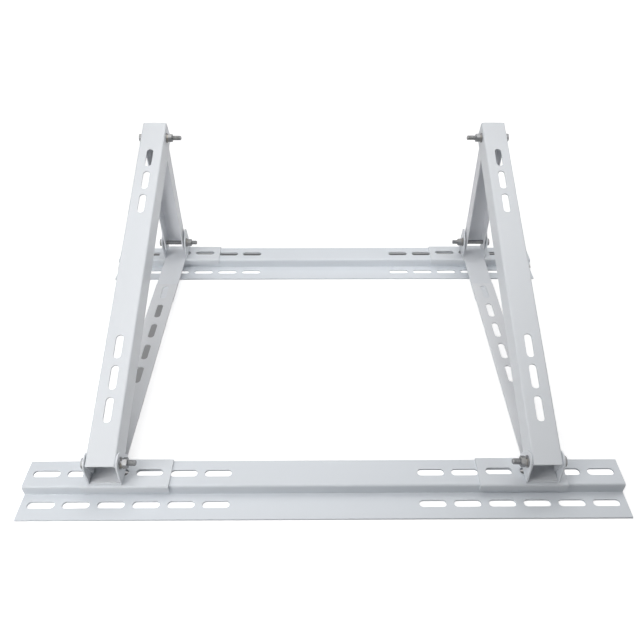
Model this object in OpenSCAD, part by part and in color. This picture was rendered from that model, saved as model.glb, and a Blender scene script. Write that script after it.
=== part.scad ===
// Tilting roof stand for an outdoor unit.
// Two folded rails lie across the roof. Four saddles hook over their upper flanges and carry
// folded feet, and each side has a sloping arm and a rear strut bolted between those feet.

/* [Rails] */
// Length of each rail
rail_length = 800; // [700:10:1200]
// Distance from the front rail to the rear rail
rail_spacing = 525; // [480:5:560]
// Depth of each rail flange, measured over the web
rail_flange = 42; // [38:0.5:55]
// Height of a rail from its sole to its top face
rail_height = 18; // [15:0.5:30]
// Sheet thickness of the rails and the saddles
rail_sheet = 2.5; // [2:0.1:3]
// Inside bend radius of the rails and the saddles
rail_bend = 0.6; // [0.5:0.1:2]
// Distance from a rail's front edge to its lower row of slots
lower_slot_line = 22.5; // [15:0.5:26]
// Distance from a rail's back edge to its upper row of slots
upper_slot_line = 20.5; // [15:0.5:26]

/* [Slots] */
// Length of every slot, end to end
slot_length = 36; // [30:1:40]
// Width of every slot
slot_width = 10.5; // [8.5:0.5:13]
// Number of slots at each end of a rail flange
rail_slots = 6; // [4:1:7]
// Pitch of the rail slots
rail_slot_pitch = 46; // [43:1:50]
// Distance from the end of a rail to its first slot
rail_slot_start = 9; // [6:1:20]
// Number of slots in each group on an arm
arm_slots = 3; // [1:1:4]
// Pitch of the arm slots
arm_slot_pitch = 47; // [43:1:55]
// Distance from the end of an arm to its first slot
arm_slot_start = 59; // [40:1:70]
// Number of slots in a base strip
strip_slots = 5; // [1:1:6]
// Pitch of the base strip slots
strip_slot_pitch = 52.5; // [43:0.5:60]
// Distance from the rear end of a base strip to its first slot
strip_slot_start = 7; // [4:0.5:20]

/* [Saddles] */
// Height of the saddle lip, measured from the saddle's top face
saddle_lip = 10.5; // [8:0.5:13]
// Length of a saddle outside the centreline of its arm
saddle_outer = 34; // [30:1:45]
// Margin of a saddle beyond its inner slot
saddle_margin = 11; // [6:1:20]
// Reach of a saddle past the back edge of its rail
saddle_overhang = 1; // [0:0.5:4]

/* [Feet] */
// Sheet thickness of the feet, base strips, arms and struts
sheet = 2; // [1.5:0.1:2.5]
// Inside bend radius of the feet, arms and struts
bend = 0.8; // [0.5:0.1:1]
// Distance from the end of a rail to the centreline of an arm
arm_inset = 111; // [100:1:120]
// Setback of a foot from the front face of its saddle
foot_setback = 3.5; // [0:0.5:5]
// Depth of a foot along its ears
foot_depth = 41; // [36:0.5:44]
// Radius of an ear round its pivot bolt, with the ear's front edge touching the circle
ear_radius = 14; // [11:0.5:16]
// Height of an ear's back edge above its saddle
ear_heel = 12.5; // [8:0.5:16]
// Radius of a rear ear's shoulder
shoulder_radius = 8; // [6:0.5:10]
// Distance of a rear ear's shoulder behind the pivot bolt
shoulder_reach = 10; // [8:0.5:13]
// Height of a rear ear's shoulder above the pivot bolt
shoulder_rise = 15; // [12:0.5:18]

/* [Base strips] */
// Length of a base strip
strip_length = 436.5; // [380:0.5:450]
// Setback of a base strip from the front edge of its foot
strip_setback = 1.5; // [0:0.5:10]
// Length of the rear foot's tongue under the base strip
tongue_lap = 48; // [20:1:80]

/* [Arms] */
// Width of an arm
arm_width = 40; // [36:1:50]
// Depth of an arm from its web to its flange edges
arm_depth = 34; // [28:1:40]
// Distance between the two pivot bolts of an arm
arm_bolts = 562; // [540:2:580]
// Distance from an arm's web to its pivot bolts
arm_bolt_line = 12; // [11:0.5:15]
// Length of an arm in front of its front bolt
arm_nose = 8; // [6:0.5:12]
// Length of an arm behind its top bolt
arm_tail = 23; // [20:1:40]
// Gap between the heel of an arm and the base strip below it
heel_gap = 1.1; // [0.5:0.1:5]

/* [Struts] */
// Distance between the two pivot bolts of a strut
strut_bolts = 214; // [190:2:250]
// Depth of a strut from its open front to its web
strut_depth = 28; // [24:1:32]
// Distance from a strut's open front to its pivot bolts
strut_bolt_line = 11; // [9:0.5:14]
// Length of a strut below its foot bolt
strut_heel = 10.5; // [8:0.5:14]

/* [Fasteners] */
// Diameter of the pivot bolts
bolt_d = 8; // [6:1:10]
// Width of the bolt heads and nuts across their flats
hex_width = 13; // [12:0.5:16]
// Height of a bolt head
head_height = 5.3; // [4:0.1:7]
// Height of a nut
nut_height = 6.5; // [5:0.1:8]
// Thread standing out past the nuts at the feet
thread_end = 10.3; // [4:0.1:20]
// Outer diameter of the flat washers
washer_d = 16; // [15:0.5:20]
// Thickness of the flat washers
washer_t = 1.6; // [1:0.1:2.5]
// Outer diameter of the spring washers
spring_d = 13; // [12.5:0.1:15]
// Thickness of the spring washers
spring_t = 2; // [1.2:0.1:3]

/* [Hidden] */
$fn = 64;

// Clearances
side_gap = 0.3;
bolt_gap = 0.3;
washer_gap = 0.2;
thread_gap = 0.05;
strip_gap = 0.1;
over = 1;

// Sides of the stand
left = -1;
right = 1;

// Rail section
rail_depth = 2 * rail_flange - rail_sheet;
web_y = rail_flange - rail_sheet;
upper_line_y = rail_depth - upper_slot_line;

// Saddle section, over the rail
saddle_top = rail_height + rail_sheet;
saddle_y = web_y - rail_sheet;
saddle_back = rail_depth + saddle_overhang;
saddle_slots = [2, 3];

// Both feet rows, measured from the middle of the stand's depth
front_y = -(rail_spacing + saddle_back) / 2;
rear_y = front_y + rail_spacing;

// Feet
arm_x = rail_length / 2 - arm_inset;
foot_inner = arm_width + 2 * side_gap;
foot_outer = foot_inner + 2 * sheet;
foot_y = saddle_y + foot_setback;
foot_bolt_y = foot_y + ear_radius;
ear_back = foot_depth - ear_radius;
shoulder_top = shoulder_rise + shoulder_radius;
strip_width = foot_inner - 2 * bend - 2 * strip_gap;
strip_y = foot_y + strip_setback;
strip_end = strip_y + strip_length;
tongue_length = rail_spacing + foot_y - strip_end + tongue_lap;

// Triangle of arm, strut and base, from its three side lengths
arm_angle = acos((pow(arm_bolts, 2) + pow(rail_spacing, 2) - pow(strut_bolts, 2))
    / (2 * arm_bolts * rail_spacing));
top_y = arm_bolts * cos(arm_angle);
top_z = arm_bolts * sin(arm_angle);
strut_lean = atan2(rail_spacing - top_y, top_z);
arm_heel = arm_nose * sin(arm_angle) + (arm_depth - arm_bolt_line) * cos(arm_angle);
pivot_height = 2 * sheet + heel_gap + arm_heel;
strut_width = arm_width - 2 * sheet - 2 * side_gap;

// Pivots as [y, z] in the stand, with the width that each bolt clamps
pivot_z = saddle_top + pivot_height;
front_pivot = [front_y + foot_bolt_y, pivot_z];
rear_pivot = [rear_y + foot_bolt_y, pivot_z];
top_pivot = front_pivot + [top_y, top_z];
foot_grip = foot_outer;
top_grip = arm_width;
bolt_length = foot_grip + washer_t + spring_t + nut_height + thread_end;
hole_d = bolt_d + 2 * bolt_gap;
washer_bore = bolt_d + 2 * washer_gap;
hex_d = hex_width / cos(30);
hex_chamfer = 30;
bolt_tip = 1;
spring_split = 1.2;
split_angle = 20;

// Sets a shape of the right-hand side on either side of the stand
module on_side(side) {
    if (side == left)
        mirror([1, 0, 0])
            children();
    else
        children();
}

// Runs a section drawn in Y and Z along X
module along_x(length) {
    rotate([90, 0, 90])
        linear_extrude(length)
            children();
}

// Runs a section drawn in X and Z along Y
module along_y(length) {
    translate([0, length, 0])
        rotate([90, 0, 0])
            linear_extrude(length)
                children();
}

// Quarter of a folded sheet's bend, filling the quadrant of the two signs
module bend_quarter(inside, thickness, sign_a, sign_b) {
    outside = inside + thickness;
    intersection() {
        difference() {
            circle(outside);
            circle(inside);
        }
        translate([sign_a < 0 ? -outside : 0, sign_b < 0 ? -outside : 0])
            square(outside);
    }
}

// Slot with round ends along X, cut down through a sheet from above
module slot_cutter(depth) {
    straight = slot_length - slot_width;
    translate([-straight / 2, -slot_width / 2, -depth])
        cube([straight, slot_width, 2 * depth]);
    for (end = [-1, 1])
        translate([end * straight / 2, 0, -depth])
            cylinder(d = slot_width, h = 2 * depth);
}

// Centre of a rail slot, counted from the end of the rail
function rail_slot_x(index) =
    rail_length / 2 - rail_slot_start - slot_length / 2 - index * rail_slot_pitch;

// Z section of a rail, with its front edge and its sole at zero
module rail_section() {
    corner = rail_bend + rail_sheet;
    square([web_y - rail_bend, rail_sheet]);
    translate([web_y - rail_bend, corner])
        bend_quarter(rail_bend, rail_sheet, 1, -1);
    translate([web_y, corner])
        square([rail_sheet, rail_height - 2 * corner]);
    translate([web_y + corner, rail_height - corner])
        bend_quarter(rail_bend, rail_sheet, -1, 1);
    translate([web_y + corner, rail_height - rail_sheet])
        square([rail_depth - web_y - corner, rail_sheet]);
}

// Folded rail with a row of slots at each end of both flanges
module rail(row_y) {
    color("gainsboro")
        translate([0, row_y, 0])
            difference() {
                translate([-rail_length / 2, 0, 0])
                    along_x(rail_length)
                        rail_section();
                for (side = [left, right], index = [0 : rail_slots - 1]) {
                    translate([side * rail_slot_x(index), lower_slot_line, rail_sheet / 2])
                        slot_cutter(rail_sheet);
                    translate([side * rail_slot_x(index), upper_line_y, rail_height])
                        slot_cutter(2 * rail_sheet);
                }
            }
}

// L section of a saddle, hooked over the rail's web and upper flange
module saddle_section() {
    corner = rail_bend + rail_sheet;
    translate([saddle_y, saddle_top - saddle_lip])
        square([rail_sheet, saddle_lip - corner]);
    translate([saddle_y + corner, saddle_top - corner])
        bend_quarter(rail_bend, rail_sheet, -1, 1);
    translate([saddle_y + corner, rail_height])
        square([saddle_back - saddle_y - corner, rail_sheet]);
}

// Saddle plate with two slots over the third and fourth slots of its rail
module saddle(side, row_y) {
    inner_end = rail_slot_x(saddle_slots[1]) - slot_length / 2 - saddle_margin;
    color("gainsboro")
        on_side(side)
            translate([0, row_y, 0])
                difference() {
                    translate([inner_end, 0, 0])
                        along_x(arm_x + saddle_outer - inner_end)
                            saddle_section();
                    for (index = saddle_slots)
                        translate([rail_slot_x(index), upper_line_y, saddle_top])
                            slot_cutter(2 * rail_sheet);
                }
}

// U section of a foot, standing on zero and centred on the arm
module foot_section() {
    corner = bend + sheet;
    floor_half = foot_inner / 2 - bend;
    translate([-floor_half, 0])
        square([2 * floor_half, sheet]);
    for (edge = [-1, 1]) {
        translate([edge * floor_half, corner])
            bend_quarter(bend, sheet, edge, -1);
        translate([edge * (foot_inner + sheet) / 2 - sheet / 2, corner])
            square([sheet, pivot_height + max(ear_radius, shoulder_top)]);
    }
}

// Angle at which a line from a point touches a circle round zero, on its upper side
function touch_angle(point, radius) = atan2(point[1], point[0]) + acos(radius / norm(point));

// Side outline of a foot: a floor strip and an ear that is round above its bolt
module ear_outline() {
    drop = pivot_height - sheet;
    heel = [ear_back, ear_heel - pivot_height];
    touch = touch_angle(heel, ear_radius);
    square([foot_depth, sheet]);
    translate([ear_radius, pivot_height]) {
        circle(ear_radius);
        polygon([
            [-ear_radius, 0],
            [-ear_radius, -drop],
            [ear_back, -drop],
            heel,
            ear_radius * [cos(touch), sin(touch)],
            [0, 0]
        ]);
    }
}

// Shoulder of a rear ear, above and behind its bolt
module ear_shoulder() {
    middle = [shoulder_reach, shoulder_rise];
    heel = [ear_back, ear_heel - pivot_height];
    front = touch_angle(middle, ear_radius - shoulder_radius);
    back = touch_angle(heel - middle, shoulder_radius);
    translate([ear_radius, pivot_height]) {
        translate(middle)
            circle(shoulder_radius);
        polygon([
            ear_radius * [cos(front), sin(front)],
            middle + shoulder_radius * [cos(front), sin(front)],
            middle + shoulder_radius * [cos(back), sin(back)],
            heel,
            [0, 0]
        ]);
    }
}

// Folded foot with two ears. A rear foot's ears have shoulders, and its tongue runs under the strip
module foot(side, row_y, rear) {
    color("gainsboro")
        on_side(side)
            translate([arm_x, row_y + foot_y, saddle_top]) {
                difference() {
                    intersection() {
                        along_y(foot_depth)
                            foot_section();
                        translate([-foot_outer / 2, 0, 0])
                            along_x(foot_outer) {
                                ear_outline();
                                if (rear)
                                    ear_shoulder();
                            }
                    }
                    translate([-foot_outer, ear_radius, pivot_height])
                        rotate([0, 90, 0])
                            cylinder(d = hole_d, h = 2 * foot_outer);
                }
                if (rear)
                    translate([-strip_width / 2, -tongue_length, 0])
                        cube([strip_width, tongue_length + sheet, sheet]);
            }
}

// Flat base strip on the front foot's floor and on the rear foot's tongue
module base_strip(side) {
    first = strip_length - strip_slot_start - slot_length / 2;
    color("gainsboro")
        on_side(side)
            translate([arm_x, front_y + strip_y, saddle_top + sheet])
                difference() {
                    translate([-strip_width / 2, 0, 0])
                        cube([strip_width, strip_length, sheet]);
                    for (index = [0 : strip_slots - 1])
                        translate([0, first - index * strip_slot_pitch, sheet / 2])
                            rotate([0, 0, 90])
                                slot_cutter(sheet);
                }
}

// U section in X and Z with its web on top at zero and its flanges hanging down
module channel_section(width, depth) {
    corner = bend + sheet;
    web_half = width / 2 - corner;
    translate([-web_half, -sheet])
        square([2 * web_half, sheet]);
    for (edge = [-1, 1]) {
        translate([edge * web_half, -corner])
            bend_quarter(bend, sheet, edge, 1);
        translate([edge * (width - sheet) / 2 - sheet / 2, -depth])
            square([sheet, depth - corner]);
    }
}

// Cross hole for a pivot bolt, through both flanges of a channel
module pivot_hole(width) {
    translate([-width, 0, 0])
        rotate([0, 90, 0])
            cylinder(d = hole_d, h = 2 * width);
}

// Sloping arm with its web on top and a group of slots near each end
module arm(side) {
    length = arm_nose + arm_bolts + arm_tail;
    color("gainsboro")
        on_side(side)
            translate([arm_x, front_pivot[0], front_pivot[1]])
                rotate([arm_angle, 0, 0])
                    difference() {
                        translate([0, -arm_nose, arm_bolt_line])
                            along_y(length)
                                channel_section(arm_width, arm_depth);
                        for (index = [0 : arm_slots - 1]) {
                            inset = arm_slot_start + slot_length / 2 + index * arm_slot_pitch;
                            for (along = [inset, length - inset])
                                translate([0, along - arm_nose, arm_bolt_line - sheet / 2])
                                    rotate([0, 0, 90])
                                        slot_cutter(sheet);
                        }
                        pivot_hole(arm_width);
                        translate([0, arm_bolts, 0])
                            pivot_hole(arm_width);
                    }
}

// Rear strut, open to the front, with its top cut to lie under the arm's web
module strut(side) {
    head_room = 2 * arm_depth;
    head_cut = arm_bolt_line - sheet - side_gap;
    cut_angle = arm_angle - strut_lean;
    color("gainsboro")
        on_side(side)
            translate([arm_x, rear_pivot[0], rear_pivot[1]])
                rotate([strut_lean, 0, 0])
                    difference() {
                        translate([0, strut_depth - strut_bolt_line, -strut_heel])
                            linear_extrude(strut_heel + strut_bolts + head_room)
                                channel_section(strut_width, strut_depth);
                        translate([0, 0, strut_bolts])
                            rotate([cut_angle, 0, 0])
                                translate([-arm_width, -head_room, head_cut])
                                    cube([2 * arm_width, 2 * head_room, 2 * head_room]);
                        pivot_hole(arm_width);
                        translate([0, 0, strut_bolts])
                            pivot_hole(arm_width);
                    }
}

// Puts a fastener drawn up its own Z axis on a pivot, from the bolt head's seat inwards
module at_pivot(side, pivot, grip, start) {
    on_side(side)
        translate([arm_x + grip / 2 - start, pivot[0], pivot[1]])
            rotate([0, -90, 0])
                children();
}

// Hexagon with the corners of both ends turned down
module hexagon(height) {
    outer = hex_d / 2 + over;
    rise = (outer - hex_width / 2) * tan(hex_chamfer);
    intersection() {
        cylinder(d = hex_d, h = height, $fn = 6);
        rotate_extrude()
            polygon([
                [0, 0],
                [hex_width / 2, 0],
                [outer, rise],
                [outer, height - rise],
                [hex_width / 2, height],
                [0, height]
            ]);
    }
}

// Hexagon bolt with its head outside and its thread towards the middle of the stand
module bolt(side, pivot, grip) {
    color("dimgray")
        at_pivot(side, pivot, grip, 0) {
            translate([0, 0, -head_height])
                hexagon(head_height);
            cylinder(d = bolt_d, h = bolt_length - bolt_tip);
            translate([0, 0, bolt_length - bolt_tip])
                cylinder(d1 = bolt_d, d2 = bolt_d - 2 * bolt_tip, h = bolt_tip);
        }
}

// Flat washer against the inner face of the joint
module flat_washer(side, pivot, grip) {
    color("silver")
        at_pivot(side, pivot, grip, grip)
            difference() {
                cylinder(d = washer_d, h = washer_t);
                translate([0, 0, -over])
                    cylinder(d = washer_bore, h = washer_t + 2 * over);
            }
}

// Split spring washer between the flat washer and the nut
module spring_washer(side, pivot, grip) {
    color("dimgray")
        at_pivot(side, pivot, grip, grip + washer_t)
            difference() {
                cylinder(d = spring_d, h = spring_t);
                translate([0, 0, -over])
                    cylinder(d = washer_bore, h = spring_t + 2 * over);
                rotate([split_angle, 0, 0])
                    translate([0, -spring_split / 2, -spring_d])
                        cube([spring_d, spring_split, 2 * spring_d]);
            }
}

// Hexagon nut
module nut(side, pivot, grip) {
    color("silver")
        at_pivot(side, pivot, grip, grip + washer_t + spring_t)
            difference() {
                hexagon(nut_height);
                translate([0, 0, -over])
                    cylinder(d = bolt_d + 2 * thread_gap, h = nut_height + 2 * over);
            }
}

rail(front_y);  // front_rail
rail(rear_y);  // rear_rail
saddle(left, front_y);  // front_left_saddle
saddle(right, front_y);  // front_right_saddle
saddle(left, rear_y);  // rear_left_saddle
saddle(right, rear_y);  // rear_right_saddle
foot(left, front_y, false);  // front_left_foot
foot(right, front_y, false);  // front_right_foot
foot(left, rear_y, true);  // rear_left_foot
foot(right, rear_y, true);  // rear_right_foot
base_strip(left);  // left_base_strip
base_strip(right);  // right_base_strip
arm(left);  // left_arm
arm(right);  // right_arm
strut(left);  // left_strut
strut(right);  // right_strut
bolt(left, front_pivot, foot_grip);  // front_left_bolt
bolt(right, front_pivot, foot_grip);  // front_right_bolt
bolt(left, rear_pivot, foot_grip);  // rear_left_bolt
bolt(right, rear_pivot, foot_grip);  // rear_right_bolt
bolt(left, top_pivot, top_grip);  // top_left_bolt
bolt(right, top_pivot, top_grip);  // top_right_bolt
flat_washer(left, front_pivot, foot_grip);  // front_left_washer
flat_washer(right, front_pivot, foot_grip);  // front_right_washer
flat_washer(left, rear_pivot, foot_grip);  // rear_left_washer
flat_washer(right, rear_pivot, foot_grip);  // rear_right_washer
flat_washer(left, top_pivot, top_grip);  // top_left_washer
flat_washer(right, top_pivot, top_grip);  // top_right_washer
spring_washer(left, front_pivot, foot_grip);  // front_left_spring_washer
spring_washer(right, front_pivot, foot_grip);  // front_right_spring_washer
spring_washer(left, rear_pivot, foot_grip);  // rear_left_spring_washer
spring_washer(right, rear_pivot, foot_grip);  // rear_right_spring_washer
spring_washer(left, top_pivot, top_grip);  // top_left_spring_washer
spring_washer(right, top_pivot, top_grip);  // top_right_spring_washer
nut(left, front_pivot, foot_grip);  // front_left_nut
nut(right, front_pivot, foot_grip);  // front_right_nut
nut(left, rear_pivot, foot_grip);  // rear_left_nut
nut(right, rear_pivot, foot_grip);  // rear_right_nut
nut(left, top_pivot, top_grip);  // top_left_nut
nut(right, top_pivot, top_grip);  // top_right_nut
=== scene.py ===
import math

import bmesh
import bpy
from mathutils import Matrix, Vector


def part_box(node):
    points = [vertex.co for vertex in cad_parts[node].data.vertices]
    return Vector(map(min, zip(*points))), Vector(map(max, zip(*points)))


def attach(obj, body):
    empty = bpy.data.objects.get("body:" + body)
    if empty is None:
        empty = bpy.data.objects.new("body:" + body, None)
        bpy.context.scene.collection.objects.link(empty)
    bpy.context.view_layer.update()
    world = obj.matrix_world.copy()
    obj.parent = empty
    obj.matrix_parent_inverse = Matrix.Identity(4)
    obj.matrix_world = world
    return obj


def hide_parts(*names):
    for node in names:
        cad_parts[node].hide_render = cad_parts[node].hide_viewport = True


# The tilting roof stand, in metres, in the frame of its solids

SIDES = ("left", "right")
JOINTS = ("front", "rear", "top")
ROWS = ("front", "rear")

# Camera, from the fit of the stand's corners to the photograph
PHOTO_SIZE = 640
FOCAL_PIXELS = 643.57
CENTRE_PIXEL = (331.66, 326.87)
CAMERA_PLACE = (0.0039, -0.7755, 0.7299)
CAMERA_DOWN = math.radians(40.426)
CAMERA_YAW = math.radians(0.532)
CAMERA_ROLL = math.radians(-0.186)
SENSOR = 36.0

# Shank and thread of the pivot bolts
BOLT_RADIUS = 0.004
THREAD_PITCH = 0.00125
THREAD_ROOT = 0.00332
THREAD_STEPS = 24
PLAIN_NECK = 0.003
TIP_CHAMFER = 0.001

# Room round the stand
FLOOR_HALF = 9.0
FLOOR_DROP = 0.0002
SHADE_REACH = 0.004
SHADE_EDGE = 0.008


def add_node(tree, kind, inputs=None, **settings):
    """Adds a shader node, with plain values or other nodes' outputs on its inputs."""
    made = tree.nodes.new(kind)
    for name, value in settings.items():
        setattr(made, name, value)
    for socket, value in (inputs or {}).items():
        if isinstance(value, bpy.types.NodeSocket):
            tree.links.new(value, made.inputs[socket])
        else:
            made.inputs[socket].default_value = value
    return made


def start_material(name):
    """A new material with its tree, its shader and the coordinates of its piece."""
    material = bpy.data.materials.new(name)
    material.use_nodes = True
    tree = material.node_tree
    shader = tree.nodes["Principled BSDF"]
    coords = add_node(tree, "ShaderNodeTexCoord").outputs["Object"]
    return material, tree, shader, coords


def noise(tree, coords, scale, detail=2.0, roughness=0.5, stretch=(1, 1, 1)):
    """Noise between 0 and 1, with its grain drawn out along the small parts of stretch."""
    mapped = add_node(tree, "ShaderNodeMapping", {"Vector": coords, "Scale": stretch})
    made = add_node(
        tree,
        "ShaderNodeTexNoise",
        {"Vector": mapped.outputs[0], "Scale": scale, "Detail": detail, "Roughness": roughness},
    )
    return made.outputs["Fac"]


def math_node(tree, operation, first, second=0.0, third=0.0):
    """The result of one sum on numbers or outputs."""
    return add_node(
        tree, "ShaderNodeMath", {0: first, 1: second, 2: third}, operation=operation
    ).outputs[0]


def span(tree, value, low, high, to_low=0.0, to_high=1.0):
    """Takes a value's range from low to high on to a new range."""
    made = add_node(
        tree,
        "ShaderNodeMapRange",
        {"Value": value, "From Min": low, "From Max": high, "To Min": to_low, "To Max": to_high},
    )
    return made.outputs[0]


def blend_colour(tree, factor, first, second, how="MIX"):
    """Mixes two colours."""
    made = add_node(
        tree,
        "ShaderNodeMix",
        {0: factor, 6: first, 7: second},
        data_type="RGBA",
        blend_type=how,
    )
    return made.outputs[2]


def rounded_edge(tree, radius):
    """The normal of a softened edge, and how far it turns from the flat face."""
    soft = add_node(tree, "ShaderNodeBevel", {"Radius": radius}, samples=6).outputs[0]
    flat = add_node(tree, "ShaderNodeNewGeometry").outputs["Normal"]
    turned = add_node(
        tree, "ShaderNodeVectorMath", {0: soft, 1: flat}, operation="DOT_PRODUCT"
    ).outputs["Value"]
    return soft, span(tree, turned, 1.0, 0.86)


def powder_coat(name, colour, gloss, drawn):
    """Powder coat on folded sheet: orange peel, cloudy tone, rubbed cut edges and fine scuffs."""
    material, tree, shader, coords = start_material(name)
    soft_normal, edge = rounded_edge(tree, 0.0007)
    peel = noise(tree, coords, 620, 3.0, 0.55)
    clouds = noise(tree, coords, 5.5, 3.0, 0.5, drawn)
    dust = noise(tree, coords, 2600, 1.0)
    scuffs = noise(tree, coords, 60, 5.0, 0.7, drawn)
    rub = noise(tree, coords, 140, 4.0, 0.65)

    pale = (*(min(1.0, c * 1.035) for c in colour), 1)
    deep = (*(c * 0.955 for c in colour), 1)
    tone = blend_colour(tree, span(tree, clouds, 0.3, 0.7), deep, pale)
    speck = span(tree, dust, 0.76, 0.86, 0.0, 0.16)
    tone = blend_colour(tree, speck, tone, (0.40, 0.41, 0.43, 1))
    marks = span(tree, scuffs, 0.64, 0.80, 0.0, 0.14)
    tone = blend_colour(tree, marks, tone, (0.86, 0.87, 0.88, 1))
    worn = math_node(tree, "MULTIPLY", edge, span(tree, rub, 0.50, 0.72))
    bare = (0.52, 0.53, 0.55, 1)
    tone = blend_colour(tree, math_node(tree, "MULTIPLY", worn, 0.5), tone, bare)
    tree.links.new(tone, shader.inputs["Base Color"])

    rough = span(tree, clouds, 0.25, 0.75, gloss - 0.05, gloss + 0.06)
    rough = math_node(tree, "ADD", rough, span(tree, scuffs, 0.55, 0.8, 0.0, 0.12))
    rough = math_node(tree, "SUBTRACT", rough, math_node(tree, "MULTIPLY", worn, 0.12))
    tree.links.new(rough, shader.inputs["Roughness"])
    shader.inputs["Specular IOR Level"].default_value = 0.45

    height = math_node(tree, "ADD", peel, math_node(tree, "MULTIPLY", clouds, 0.8))
    bump = add_node(
        tree,
        "ShaderNodeBump",
        {"Strength": 0.16, "Distance": 0.0006, "Height": height, "Normal": soft_normal},
    )
    tree.links.new(bump.outputs[0], shader.inputs["Normal"])
    return material


def plated_steel(name, colour, gloss, stain):
    """Zinc plated steel: drawn grain, passivation tint, dull patches, and a painted highlight on the
    edges.
    """
    material, tree, shader, coords = start_material(name)
    soft_normal, edge = rounded_edge(tree, 0.0003)
    grain = noise(tree, coords, 2400, 3.0, 0.6, (0.12, 1, 1))
    patches = noise(tree, coords, 210, 4.0, 0.6)
    tint = noise(tree, coords, 95, 2.0)

    base = blend_colour(tree, span(tree, tint, 0.35, 0.65), (*colour, 1), (*stain, 1))
    dull = (*(c * 0.55 for c in colour), 1)
    base = blend_colour(tree, span(tree, patches, 0.55, 0.75, 0.0, 0.55), base, dull)
    # Painted highlight: a lighter base colour on the edges
    base = blend_colour(tree, math_node(tree, "MULTIPLY", edge, 0.45), base, (0.66, 0.67, 0.69, 1))
    tree.links.new(base, shader.inputs["Base Color"])
    shader.inputs["Metallic"].default_value = 1.0

    rough = span(tree, patches, 0.3, 0.75, gloss - 0.06, gloss + 0.16)
    rough = math_node(tree, "ADD", rough, span(tree, grain, 0.3, 0.7, -0.03, 0.05))
    tree.links.new(rough, shader.inputs["Roughness"])
    bump = add_node(
        tree,
        "ShaderNodeBump",
        {"Strength": 0.2, "Distance": 0.00012, "Height": grain, "Normal": soft_normal},
    )
    tree.links.new(bump.outputs[0], shader.inputs["Normal"])
    return material


def make_camera():
    """Camera at the photograph's viewing angle, kept level but for the fitted roll."""
    data = bpy.data.cameras.new("photo_camera")
    data.sensor_fit = "HORIZONTAL"
    data.sensor_width = SENSOR
    data.lens = FOCAL_PIXELS / PHOTO_SIZE * SENSOR
    data.shift_x = (PHOTO_SIZE / 2 - CENTRE_PIXEL[0]) / PHOTO_SIZE
    data.shift_y = (CENTRE_PIXEL[1] - PHOTO_SIZE / 2) / PHOTO_SIZE
    data.clip_start = 0.02
    data.clip_end = 60
    camera = bpy.data.objects.new("photo_camera", data)
    camera.matrix_world = (
        Matrix.Translation(CAMERA_PLACE)
        @ Matrix.Rotation(-CAMERA_YAW, 4, "Z")
        @ Matrix.Rotation(math.pi / 2 - CAMERA_DOWN, 4, "X")
        @ Matrix.Rotation(-CAMERA_ROLL, 4, "Z")
    )
    bpy.context.collection.objects.link(camera)
    bpy.context.scene.camera = camera
    return camera


def background_rays(tree):
    """1 for the rays that see the background: the camera's, reflections and glass."""
    path = add_node(tree, "ShaderNodeLightPath")
    seen = math_node(
        tree,
        "MAXIMUM",
        path.outputs["Is Camera Ray"],
        path.outputs["Is Glossy Ray"],
    )
    return math_node(tree, "MAXIMUM", seen, path.outputs["Is Transmission Ray"])


def make_world(ambient):
    """White for the rays that see it, and a weak even light for the rest."""
    world = bpy.data.worlds.new("studio")
    bpy.context.scene.world = world
    world.use_nodes = True
    tree = world.node_tree
    tree.nodes.clear()
    light = add_node(
        tree, "ShaderNodeBackground", {"Color": (0.96, 0.98, 1, 1), "Strength": ambient}
    )
    white = add_node(tree, "ShaderNodeBackground", {"Color": (1, 1, 1, 1), "Strength": 1.0})
    mixed = add_node(
        tree,
        "ShaderNodeMixShader",
        {0: background_rays(tree), 1: light.outputs[0], 2: white.outputs[0]},
    )
    add_node(tree, "ShaderNodeOutputWorld", {"Surface": mixed.outputs[0]})


def band(tree, value, low, high):
    """1 between two limits and 0 past them, with soft ends."""
    rise = add_node(
        tree,
        "ShaderNodeMapRange",
        {"Value": value, "From Min": low - SHADE_EDGE, "From Max": low},
        interpolation_type="SMOOTHSTEP",
    )
    fall = add_node(
        tree,
        "ShaderNodeMapRange",
        {"Value": value, "From Min": high, "From Max": high + SHADE_EDGE},
        interpolation_type="SMOOTHSTEP",
    )
    return math_node(tree, "SUBTRACT", rise.outputs[0], fall.outputs[0])


def patch(tree, coords, x_range, y_range):
    """1 on a rectangle of the floor and 0 round it, with soft edges."""
    place = add_node(tree, "ShaderNodeSeparateXYZ", {0: coords})
    across = band(tree, place.outputs["X"], *x_range)
    along = band(tree, place.outputs["Y"], *y_range)
    return math_node(tree, "MULTIPLY", across, along)


def painted_shade_patches(tree, coords):
    """Share of light on the floor: painted shade under the rear rail, the left strip and the front
    feet, where the floor is seen through their slots.
    """
    rail_low, rail_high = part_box("rear_rail")
    strip_low, strip_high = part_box("left_base_strip")
    rail_hollow = ((rail_low.y + rail_high.y) / 2, rail_high.y + SHADE_REACH)
    painted_shade_mask = patch(tree, coords, (rail_low.x, rail_high.x), rail_hollow)
    strip_half = (strip_low.x + SHADE_REACH, (strip_low.x + strip_high.x) / 2)
    under_strip = patch(tree, coords, strip_half, (strip_low.y, rail_low.y))
    painted_shade_mask = math_node(tree, "MAXIMUM", math_node(tree, "MULTIPLY", under_strip, 0.82), painted_shade_mask)
    front_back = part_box("front_rail")[1].y - SHADE_EDGE
    for side in SIDES:
        low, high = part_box(f"front_{side}_foot")
        foot_width = (low.x + SHADE_REACH, high.x - SHADE_REACH)
        under_foot = patch(tree, coords, foot_width, (low.y, front_back))
        painted_shade_mask = math_node(tree, "MAXIMUM", painted_shade_mask, under_foot)
    return span(tree, painted_shade_mask, 0.0, 1.0, 1.0, 0.05)


def painted_light_patch(tree, coords):
    """Mask of painted light: 1 on the floor seen through the front rail's upper slots, where the
    glow is raised to full over the rail's shadow.
    """
    low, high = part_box("front_rail")
    hollow = ((low.y + high.y) / 2, high.y + SHADE_REACH)
    return patch(tree, coords, (low.x, high.x), hollow)


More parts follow.
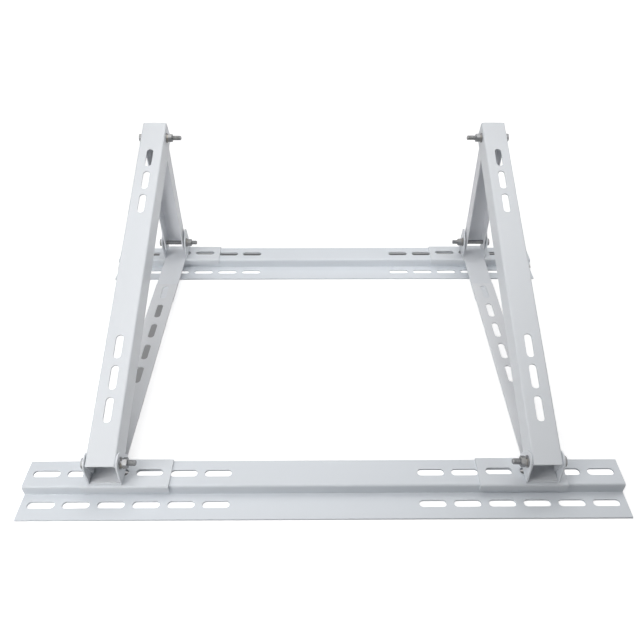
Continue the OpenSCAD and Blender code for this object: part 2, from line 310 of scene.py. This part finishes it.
def floor_material(glow):
    """Matt white floor that keeps the stand's shadow and reads as pure white far off, with painted
    shade under the rear rail, left strip and front feet, and painted light under the front rail.
    """
    material, tree, shader, coords = start_material("white_floor")
    sweep = noise(tree, coords, 1.5, 2.0)
    tone = blend_colour(tree, sweep, (0.64, 0.64, 0.645, 1), (0.66, 0.66, 0.665, 1))
    shade = painted_shade_patches(tree, coords)
    # Painted shade: the floor's tone turns dark grey under the rear rail, the left strip and the
    # front feet
    tone = blend_colour(tree, shade, (0.10, 0.105, 0.115, 1), tone)
    tree.links.new(tone, shader.inputs["Base Color"])
    shader.inputs["Roughness"].default_value = 0.9
    shader.inputs["Specular IOR Level"].default_value = 0.1
    shader.inputs["Emission Color"].default_value = (1, 1, 1, 1)
    distance = add_node(tree, "ShaderNodeVectorMath", {0: coords}, operation="LENGTH")
    strength = span(tree, distance.outputs["Value"], 0.8, 2.0, glow, 1.0)
    # Painted light: full glow on the floor under the front rail's upper flange, lifting the rail's
    # shadow there
    strength = math_node(tree, "MAXIMUM", strength, painted_light_patch(tree, coords))
    # Painted shade: the glow is cut down in the same patches
    strength = math_node(tree, "MULTIPLY", strength, shade)
    seen = math_node(tree, "MULTIPLY", background_rays(tree), strength)
    tree.links.new(seen, shader.inputs["Emission Strength"])
    return material


def make_floor():
    """Plain floor under the rails."""
    form = bmesh.new()
    bmesh.ops.create_grid(form, x_segments=1, y_segments=1, size=FLOOR_HALF)
    bmesh.ops.translate(form, verts=form.verts, vec=(0, 0, -FLOOR_DROP))
    floor = finish_piece("floor", form, floor_material(0.66))


def make_lamp(name, place, target, size, power, spread=math.pi):
    """Square soft lamp that looks from its place to its target."""
    data = bpy.data.lights.new(name, "AREA")
    data.shape = "SQUARE"
    data.size = size
    data.energy = power
    data.spread = spread
    lamp = bpy.data.objects.new(name, data)
    aim = Vector(target) - Vector(place)
    lamp.matrix_world = Matrix.Translation(place) @ aim.to_track_quat("-Z", "Y").to_matrix().to_4x4()
    bpy.context.collection.objects.link(lamp)


def finish_piece(name, form, material):
    """Makes an object of a bmesh, at the origin, with its place in its mesh."""
    mesh = bpy.data.meshes.new(name)
    form.to_mesh(mesh)
    form.free()
    mesh.materials.append(material)
    piece = bpy.data.objects.new(name, mesh)
    bpy.context.collection.objects.link(piece)
    return piece


def cut_end(form, place, direction):
    """Cuts off what lies past a plane and closes the cut."""
    geometry = form.verts[:] + form.edges[:] + form.faces[:]
    bmesh.ops.bisect_plane(
        form, geom=geometry, dist=1e-7, plane_co=place, plane_no=direction, clear_outer=True
    )
    rim = [edge for edge in form.edges if edge.is_boundary]
    bmesh.ops.holes_fill(form, edges=rim, sides=0)


def thread(major, low, high):
    """Helical thread up the Z axis, cut off square at both ends, with a turned-down tip."""
    form = bmesh.new()
    outline = (
        (THREAD_ROOT, 0.0),
        (THREAD_ROOT, 0.25),
        (major, 0.5625),
        (major, 0.6875),
        (THREAD_ROOT, 1.0),
    )
    bottom = low - 2 * THREAD_PITCH
    points = [form.verts.new((r, 0, bottom + up * THREAD_PITCH)) for r, up in outline]
    ridge = [form.edges.new(pair) for pair in zip(points, points[1:])]
    bmesh.ops.spin(
        form,
        geom=points + ridge,
        cent=(0, 0, 0),
        axis=(0, 0, 1),
        dvec=(0, 0, THREAD_PITCH / THREAD_STEPS),
        angle=2 * math.pi,
        steps=THREAD_STEPS,
        use_merge=False,
    )
    one_turn = form.verts[:] + form.edges[:] + form.faces[:]
    for turn in range(1, math.ceil((high - low) / THREAD_PITCH) + 4):
        copied = bmesh.ops.duplicate(form, geom=one_turn)["geom"]
        verts = [item for item in copied if isinstance(item, bmesh.types.BMVert)]
        bmesh.ops.translate(form, verts=verts, vec=(0, 0, turn * THREAD_PITCH))
    bmesh.ops.remove_doubles(form, verts=form.verts, dist=2e-6)
    cut_end(form, (0, 0, low), (0, 0, -1))
    cut_end(form, (0, 0, high), (0, 0, 1))
    for vert in form.verts:
        radius = math.hypot(vert.co.x, vert.co.y)
        room = major - TIP_CHAMFER + (high - vert.co.z)
        if radius > room:
            vert.co.x *= room / radius
            vert.co.y *= room / radius
    bmesh.ops.recalc_face_normals(form, faces=form.faces)
    mesh = bpy.data.meshes.new("thread")
    form.to_mesh(mesh)
    form.free()
    return mesh


def make_bolt(joint, side, seat_distance, cut_thread, material):
    """Pivot bolt with the solid's own hexagon head and neck, and a cut thread."""
    name = f"{joint}_{side}_bolt"
    low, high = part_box(name)
    inward = 1 if side == "left" else -1
    seat = -inward * seat_distance
    centre = (low + high) / 2

    form = bmesh.new()
    form.from_mesh(cut_thread)
    turn = Matrix.Rotation(inward * math.pi / 2, 4, "Y")
    place = Matrix.Translation((seat, centre.y, centre.z))
    bmesh.ops.transform(form, matrix=place @ turn, verts=form.verts)

    head = bmesh.new()
    head.from_mesh(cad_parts[name].data)
    bmesh.ops.remove_doubles(head, verts=head.verts, dist=1e-6)
    neck_end = (seat + inward * PLAIN_NECK, centre.y, centre.z)
    cut_end(head, neck_end, (inward, 0, 0))
    kept = bpy.data.meshes.new("head")
    head.to_mesh(kept)
    head.free()
    form.from_mesh(kept)
    bpy.data.meshes.remove(kept)

    bolt = finish_piece(f"{name}_threaded", form, material)
    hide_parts(name)
    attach(bolt, "root")


def dress(names, material):
    """Gives solids of the frame a new finish."""
    for name in names:
        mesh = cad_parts[name].data
        mesh.materials.clear()
        mesh.materials.append(material)


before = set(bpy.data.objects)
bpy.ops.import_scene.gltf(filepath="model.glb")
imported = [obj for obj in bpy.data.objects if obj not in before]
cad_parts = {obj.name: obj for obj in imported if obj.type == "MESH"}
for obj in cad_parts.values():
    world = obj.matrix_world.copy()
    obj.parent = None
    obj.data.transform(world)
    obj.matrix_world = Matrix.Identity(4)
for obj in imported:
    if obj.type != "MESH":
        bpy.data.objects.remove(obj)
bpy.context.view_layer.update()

# Each bolt's head sits on the outer face of the foot or the arm
head_seats = {
    "front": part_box("front_right_foot")[1].x,
    "rear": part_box("rear_right_foot")[1].x,
    "top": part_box("right_arm")[1].x,
}
bolt_length = head_seats["top"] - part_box("top_right_bolt")[0].x
cut_thread = thread(BOLT_RADIUS, PLAIN_NECK, bolt_length)

make_camera()
make_world(0.0)
make_floor()
stand_middle = (0, 0, 0)
make_lamp("over_left", (-0.6, -0.45, 1.2), (-0.2, -0.1, 0), 0.8, 5.2)
make_lamp("front_left", (-0.88, -0.77, 0.44), (-0.25, -0.2, 0), 0.5, 4.2)
make_lamp("top", (0.0, 0.3, 2.3), stand_middle, 2.2, 13.6)
make_lamp("right", (1.7, -0.2, 1.1), stand_middle, 1.2, 4.5)
make_lamp("rear_top", (0.0, 0.8, 1.6), (0, 0.3, 0), 1.2, 7.2)
make_lamp("rear_right", (1.3, 0.9, 0.9), (0, 0.2, 0), 0.9, 3.9)
make_lamp("over_rear_rail", (0.0, -0.5, 1.0), (0, 0.27, 0.03), 0.5, 0.26, 0.8)

# The pieces share one pale grey powder coat; the feet and struts get a paler tone than the rails as
# painted light
rail_coat = powder_coat("rail_powder_coat", (0.735, 0.770, 0.810), 0.40, (0.15, 1, 1))
saddle_coat = powder_coat("saddle_powder_coat", (0.735, 0.765, 0.80), 0.39, (0.3, 1, 1))
foot_coat_painted_light = powder_coat("foot_powder_coat_painted_light", (0.775, 0.80, 0.835), 0.42, (1, 1, 0.5))
strip_coat = powder_coat("strip_powder_coat", (0.775, 0.79, 0.815), 0.41, (1, 0.15, 1))
arm_coat = powder_coat("arm_powder_coat", (0.73, 0.755, 0.785), 0.38, (1, 0.2, 0.5))
strut_coat_painted_light = powder_coat("strut_powder_coat_painted_light", (0.785, 0.80, 0.83), 0.42, (1, 1, 0.2))
zinc = plated_steel("zinc_plate", (0.215, 0.222, 0.236), 0.36, (0.25, 0.25, 0.245))
spring = plated_steel("spring_steel", (0.22, 0.22, 0.23), 0.34, (0.28, 0.26, 0.22))

dress([f"{row}_rail" for row in ROWS], rail_coat)
dress([f"{row}_{side}_saddle" for row in ROWS for side in SIDES], saddle_coat)
dress([f"{row}_{side}_foot" for row in ROWS for side in SIDES], foot_coat_painted_light)
dress([f"{side}_base_strip" for side in SIDES], strip_coat)
dress([f"{side}_arm" for side in SIDES], arm_coat)
dress([f"{side}_strut" for side in SIDES], strut_coat_painted_light)
for joint in JOINTS:
    for side in SIDES:
        dress([f"{joint}_{side}_{part}" for part in ("bolt", "washer", "nut")], zinc)
        dress([f"{joint}_{side}_spring_washer"], spring)
        make_bolt(joint, side, head_seats[joint], cut_thread, zinc)

bpy.context.scene.view_settings.view_transform = "Standard"
